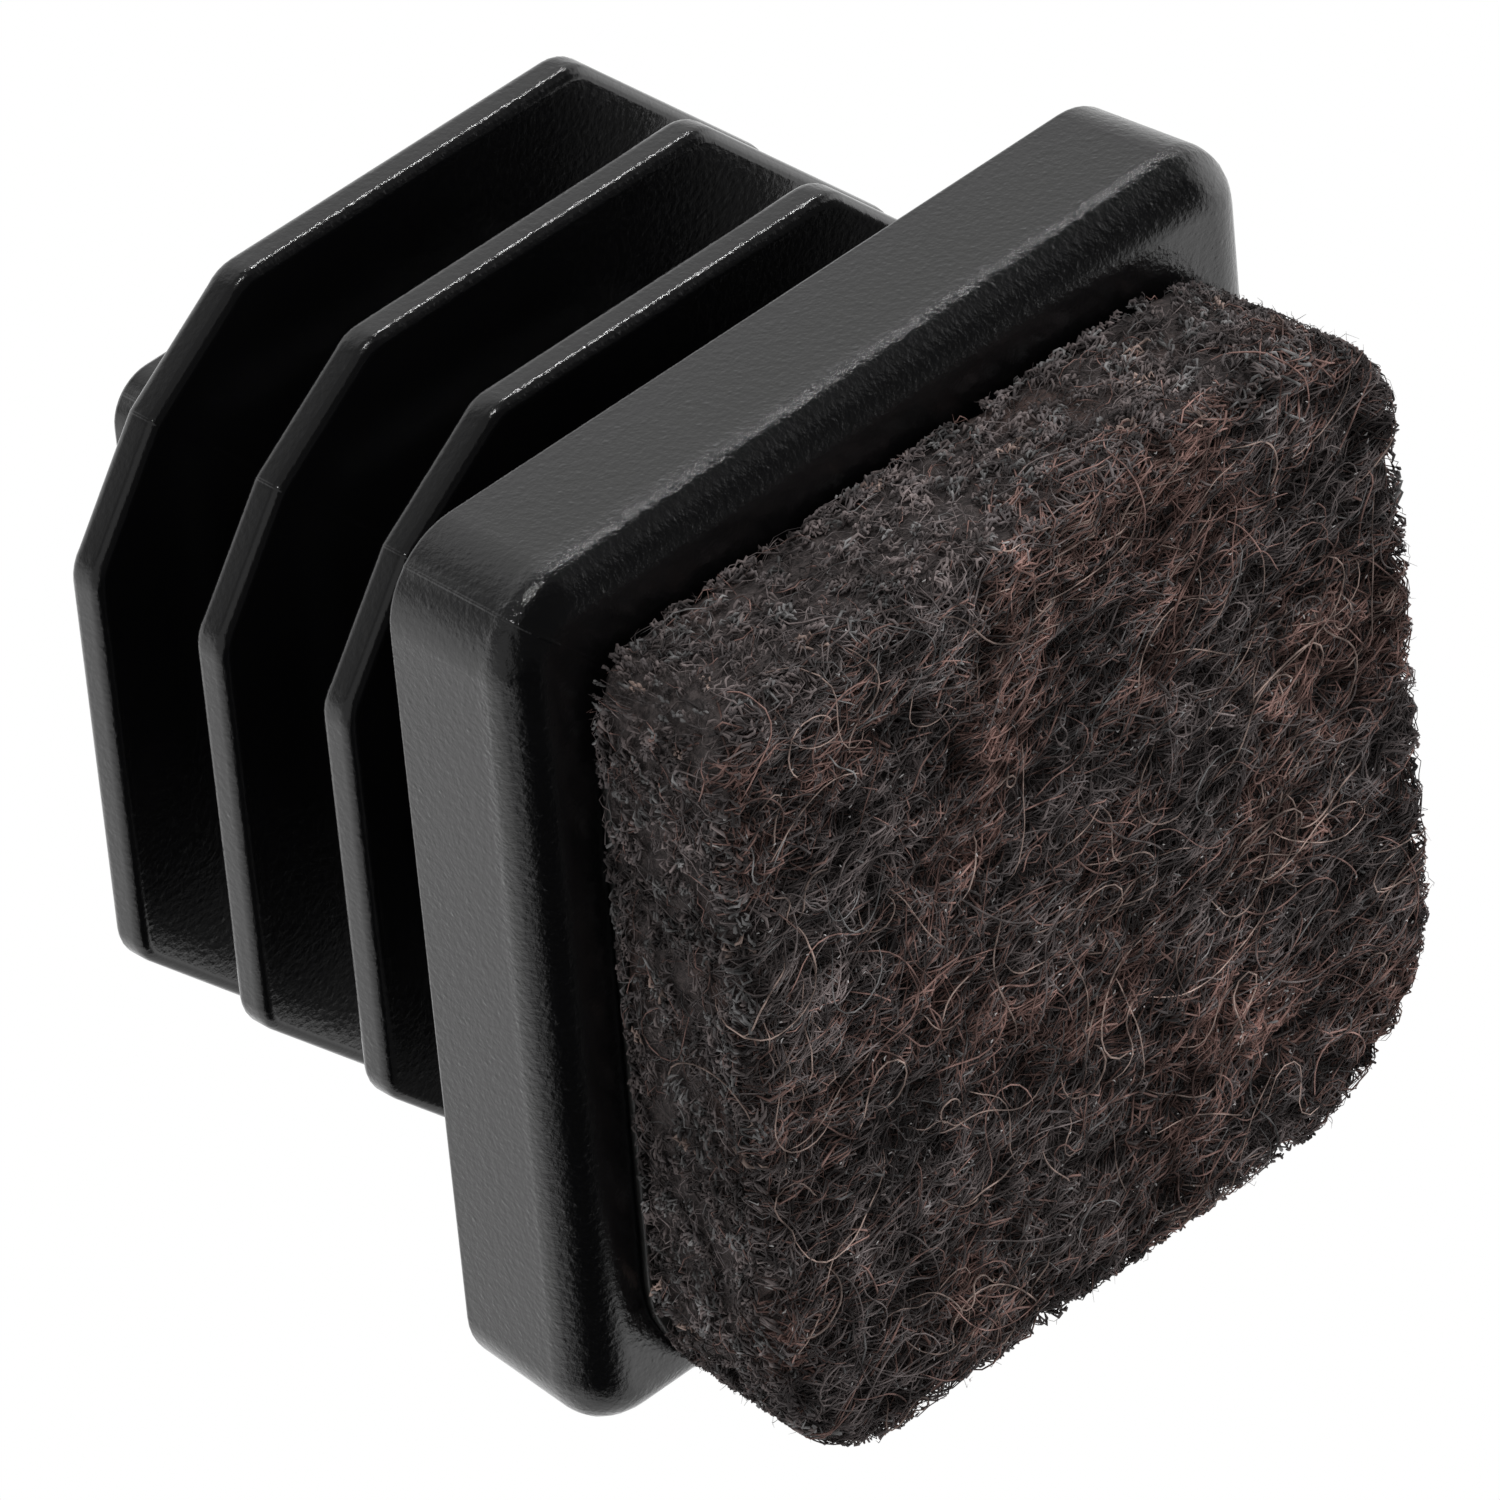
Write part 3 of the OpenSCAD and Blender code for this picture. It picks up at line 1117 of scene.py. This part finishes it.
@dataclass
class FeltPad:
    """The felt foot: a packed block and the fibres that lie on it."""

    form: FeltForm = field(default_factory=FeltForm)
    skin: float = 0.24
    voxel: float = 0.16
    lumps: tuple[Pair, ...] = ((1.3, 0.14), (0.4, 0.12))
    lump_level: float = 0.55
    sink: Pair = (0.04, 0.3)
    finish: FeltBed = FeltBed()

    def build(self) -> Object:
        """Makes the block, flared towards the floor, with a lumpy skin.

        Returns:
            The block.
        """
        form = self.form
        wide = form.half - self.skin
        radii = {corner: radius - self.skin for corner, radius in form.radii.items()}
        bm = corner_block(wide, self.skin, form.thickness, form.centre, radii)
        base = [vert for vert in bm.verts if vert.co.z > form.thickness - TOUCH]
        bmesh.ops.scale(
            bm, vec=(1 - form.flare[0] / wide, 1 - form.flare[1] / wide, 1.0), verts=base,
            space=Matrix.Translation((-form.centre[0], -form.centre[1], 0)),
        )
        round_edges(bm, rim(bm, self.skin), form.lip - self.skin / 2, segments=6)
        obj = mesh_object(bm, "felt_block")
        remesh = obj.modifiers.new("even_faces", "REMESH")
        remesh.mode = "VOXEL"
        remesh.voxel_size = self.voxel * MM
        for number, (size, height) in enumerate(self.lumps):
            texture = bpy.data.textures.new(f"felt_lumps_{number}", "CLOUDS")
            texture.noise_scale = size * MM
            swell = obj.modifiers.new(f"lumps_{number}", "DISPLACE")
            swell.texture = texture
            swell.texture_coords = "LOCAL"
            swell.strength = height * MM
            swell.mid_level = self.lump_level
        shape = final_mesh(obj)
        obj.modifiers.clear()
        obj.data = shape
        self._press(shape)
        shape.shade_smooth()
        return obj

    def _press(self, mesh: bpy.types.Mesh) -> None:
        """Presses the pits between the tufts into the block's face.

        Args:
            mesh: the block's mesh, in metres.
        """
        places = np.empty(len(mesh.vertices) * 3)
        mesh.vertices.foreach_get("co", places)
        x, y, z = (places / MM).reshape(-1, 3).T
        near = np.clip(1 - (z - self.skin) / self.form.lip, 0, 1)
        z = z + near * (self.sink[0] + self.sink[1] * self.form.pits(x, y))
        mesh.vertices.foreach_set("co", (np.stack((x, y, z), axis=-1) * MM).ravel())
        mesh.update()

    def dress(self, obj: Object) -> None:
        settle(obj, self.finish, Slot.FELT, "felt_pad")

    def lots(self) -> list[FibreLot]:
        """Lists the fibres that lie on the block.

        Returns:
            The lots.
        """
        shade, lot = FibreShade, partial(FibreLot, self.form)
        dark = {shade.COAL: 0.48, shade.UMBER: 0.44, shade.RUST: 0.06, shade.ASH: 0.02}
        mixed = {shade.COAL: 0.34, shade.UMBER: 0.48, shade.RUST: 0.12, shade.ASH: 0.06}
        warm = {shade.COAL: 0.22, shade.UMBER: 0.46, shade.RUST: 0.29, shade.TAN: 0.03}
        bright = {shade.UMBER: 0.2, shade.RUST: 0.35, shade.TAN: 0.4, shade.ASH: 0.05}
        grey = {shade.COAL: 0.4, shade.UMBER: 0.4, shade.ASH: 0.18, shade.TAN: 0.02}
        lint = {shade.ASH: 0.4, shade.PALE: 0.6}
        sides = {"around": True, "layers": (0.8, 0.8, 2.0), "tone": (0.4, 1.6)}
        flow = {"lean": -0.3, "spread": 0.4, "stray": 0.15}
        return [
            lot("felt_ground_fibres", seed=11, count=4800, points=6, length=(0.8, 2.6),
                width=(0.040, 0.070), shades=dark, depth=(0.1, 0.4), gather=9.0, pit=0.3, lean=-0.3),
            lot("felt_middle_fibres", seed=12, count=4800, points=6, length=(0.8, 2.6),
                width=(0.034, 0.060), shades=mixed, depth=(0.03, 0.25), gather=13.0, tuft=6,
                tuft_reach=(0.5, 0.15), pit=0.3, **flow),
            lot("felt_face_tufts", seed=13, count=3500, points=8, length=(1.4, 3.8),
                width=(0.024, 0.045), shades=warm, band=(-0.1, 20.0), curl=0.6, depth=(0.0, 0.15),
                gather=14.0, tuft=14, tuft_reach=(0.7, 0.25), pit=0.3, **flow),
            lot("felt_fine_veil", seed=19, count=3500, points=8, length=(1.2, 3.4),
                width=(0.016, 0.032), shades=mixed, band=(-0.1, 20.0), curl=0.9, spread=0.6, stray=0.3,
                lean=-0.3, depth=(0.0, 0.12), gather=9.0, tuft=5, tuft_reach=(0.7, 0.3), pit=0.3),
            lot("felt_loose_curls", seed=14, count=280, points=16, length=(1.5, 4.5),
                width=(0.024, 0.042), shades=bright, band=(0.2, 20.0), spread=0.7, stray=0.4, curl=1.3,
                depth=(0.0, 0.02), wave=0.04, gather=4.0),
            lot("felt_short_nap", seed=15, count=8000, points=4, length=(0.15, 0.7),
                width=(0.034, 0.060), shades=mixed, spread=0.9, stray=0.5, curl=0.8, depth=(0.0, 0.2),
                tuck=0.1, gather=6.0, pit=0.3),
            lot("felt_lint_specks", seed=22, count=650, points=3, length=(0.05, 0.12),
                width=(0.025, 0.045), shades=lint, stray=1.0, depth=(0.0, 0.04), wave=0.0, tuck=0.0),
            lot("felt_cut_ends", seed=16, count=8000, points=4, length=(0.15, 0.42),
                width=(0.050, 0.085), shades=grey, band=(-3.5, 0.2), spread=0.4, stray=0.25, curl=1.2,
                depth=(0.0, 0.16), wave=0.04, tuck=0.08, tuft=7, tuft_reach=(0.15, 0.06), **sides),
            lot("felt_side_nap", seed=18, count=9000, points=3, length=(0.06, 0.18),
                width=(0.050, 0.090), shades=grey, band=(-3.5, 0.1), spread=0.6, stray=0.4, curl=0.8,
                depth=(0.0, 0.12), wave=0.02, tuck=0.03, tuft=8, tuft_reach=(0.09, 0.05), **sides),
            lot("felt_side_fibres", seed=20, count=2200, points=6, length=(0.4, 1.6),
                width=(0.014, 0.028), shades=mixed, band=(-3.4, 0.0), spread=0.5, stray=0.3, curl=0.9,
                depth=(0.0, 0.1), wave=0.05, tuck=0.15, **sides),
            lot("felt_edge_fuzz", seed=17, count=900, points=5, length=(0.2, 0.6),
                width=(0.008, 0.014), shades=mixed, band=(-3.4, 0.4), around=True, spread=0.8,
                stray=0.6, curl=1.0, depth=(0.0, 0.1), tuck=0.0, stand=0.2),
        ]


# Studio


@dataclass(frozen=True)
class Lamp:
    """A soft area lamp, placed by its direction from the cap; in metres."""

    name: str
    towards: Triple
    size: float
    level: float
    distance: float = 0.35

    def hang(self) -> None:
        """Adds the lamp, turned to the cap; a level of 1 lights a facing surface like a white room."""
        light = bpy.data.lights.new(self.name, "AREA")
        light.size = self.size
        light.energy = self.level * (math.pi * self.distance) ** 2
        obj = linked(self.name, light)
        away = Vector(self.towards).normalized()
        turn = away.to_track_quat("Z", "Y").to_matrix().to_4x4()
        obj.matrix_world = Matrix.Translation(away * self.distance) @ turn
        obj.visible_camera = False


@dataclass(frozen=True)
class Flag:
    """A soft darker patch of the room, placed by its direction from the cap."""

    towards: Triple
    level: float
    edge: Pair
    gloss_only: bool = False


@dataclass
class Studio:
    """Camera, room, lamps and table."""

    right: Triple = (0.69992, 0.07728, -0.71003)
    up: Triple = (0.47055, -0.79777, 0.37703)
    back: Triple = (-0.53730, -0.59799, -0.59474)
    eye: Triple = (-171.10, -189.35, -180.47)
    lens: float = 395.8
    sensor: float = 36.0
    clip: Pair = (0.01, 10.0)
    white: Colour = (1.0, 1.0, 1.0, 1.0)
    backdrop: float = 1.0
    front: float = 0.42
    fade: Pair = (-0.15, 0.5)
    flags: tuple[Flag, ...] = (
        Flag((-0.60, -0.54, 0.59), level=0.5, edge=(0.78, 0.95)),
        Flag((0.47, -0.80, 0.38), level=0.8, edge=(0.55, 0.9)),
        Flag((-0.30, 0.60, -0.74), level=0.02, edge=(0.80, 0.94)),
        Flag((0.10, 0.98, -0.15), level=0.6, edge=(0.80, 0.95)),
        Flag((-0.20, -0.97, -0.15), level=0.5, edge=(0.70, 0.95)),
        Flag((0.0, -0.25, -0.968), level=0.1, edge=(0.60, 0.72), gloss_only=True),
        Flag((0.53, -0.83, -0.17), level=0.25, edge=(0.88, 0.96), gloss_only=True),
    )
    floor_half: float = 600.0
    floor_z: float = -0.05
    floor_tiles: int = 8
    lamps: tuple[Lamp, ...] = (
        Lamp("key_softbox", (0.54, -0.80, 0.27), size=0.016, level=0.11),
        Lamp("corner_softbox", (-0.12, -0.98, -0.15), size=0.016, level=0.15),
        Lamp("side_softbox", (0.98, -0.07, -0.17), size=0.25, level=0.08),
    )

    def camera(self) -> None:
        """Sets the camera at the photograph's viewing angle."""
        data = bpy.data.cameras.new("camera")
        data.lens = self.lens
        data.sensor_width = self.sensor
        data.clip_start, data.clip_end = self.clip
        obj = linked("camera", data)
        turn = Matrix((self.right, self.up, self.back)).transposed().to_4x4()
        obj.matrix_world = Matrix.Translation(Vector(self.eye) * MM) @ turn
        bpy.context.scene.camera = obj

    def room(self) -> None:
        """Lights the cap from a pale room, brightest behind it, white to the camera."""
        world = bpy.data.worlds.new("pale_room")
        world.use_nodes = True
        bench = NodeBench(world.node_tree)
        way = bench.put("ShaderNodeTexCoord").outputs["Generated"]
        path = bench.put("ShaderNodeLightPath").outputs
        shade = 1.0
        for flag in self.flags:
            dimmed = bench.span(bench.dot(way, flag.towards), *flag.edge, 1.0, flag.level)
            if flag.gloss_only:
                dimmed = bench.math("MAXIMUM", dimmed, bench.math("SUBTRACT", 1.0, path["Is Glossy Ray"]))
            shade = bench.math("MINIMUM", shade, dimmed)
        level = bench.span(bench.dot(way, self.back), *self.fade, self.backdrop, self.front)
        shaded = bench.math("MULTIPLY", level, shade)
        inputs = {0: path["Is Camera Ray"], 2: shaded, 3: 1.0}
        strength = bench.put("ShaderNodeMix", inputs, data_type="FLOAT").outputs[0]
        light = bench.put("ShaderNodeBackground", {"Color": self.white, "Strength": strength})
        bench.put("ShaderNodeOutputWorld", {"Surface": light.outputs["Background"]})
        bpy.context.scene.world = world

    def table(self) -> None:
        """Adds the pale table that the cap stands on."""
        bm = bmesh.new()
        tiles = self.floor_tiles
        bmesh.ops.create_grid(bm, x_segments=tiles, y_segments=tiles, size=self.floor_half)
        bmesh.ops.translate(bm, vec=(0, 0, self.floor_z), verts=bm.verts)
        obj = mesh_object(bm, "pale_table", closed=False)
        obj.data.materials.append(OneWayFloor().make())

    def build(self) -> None:
        """Sets up the whole studio."""
        self.camera()
        self.room()
        self.table()
        for lamp in self.lamps:
            lamp.hang()
        bpy.context.scene.view_settings.view_transform = "Standard"


def main() -> None:
    """Builds the cap and its studio."""
    logging.basicConfig(level=logging.INFO, format="%(name)s %(message)s")
    Studio().build()
    pad = FeltPad()
    for part in (LamellaPlug(), AdhesiveFilm(), pad, *pad.lots()):
        part.dress(part.build())


if __name__ == "__main__":
    main()
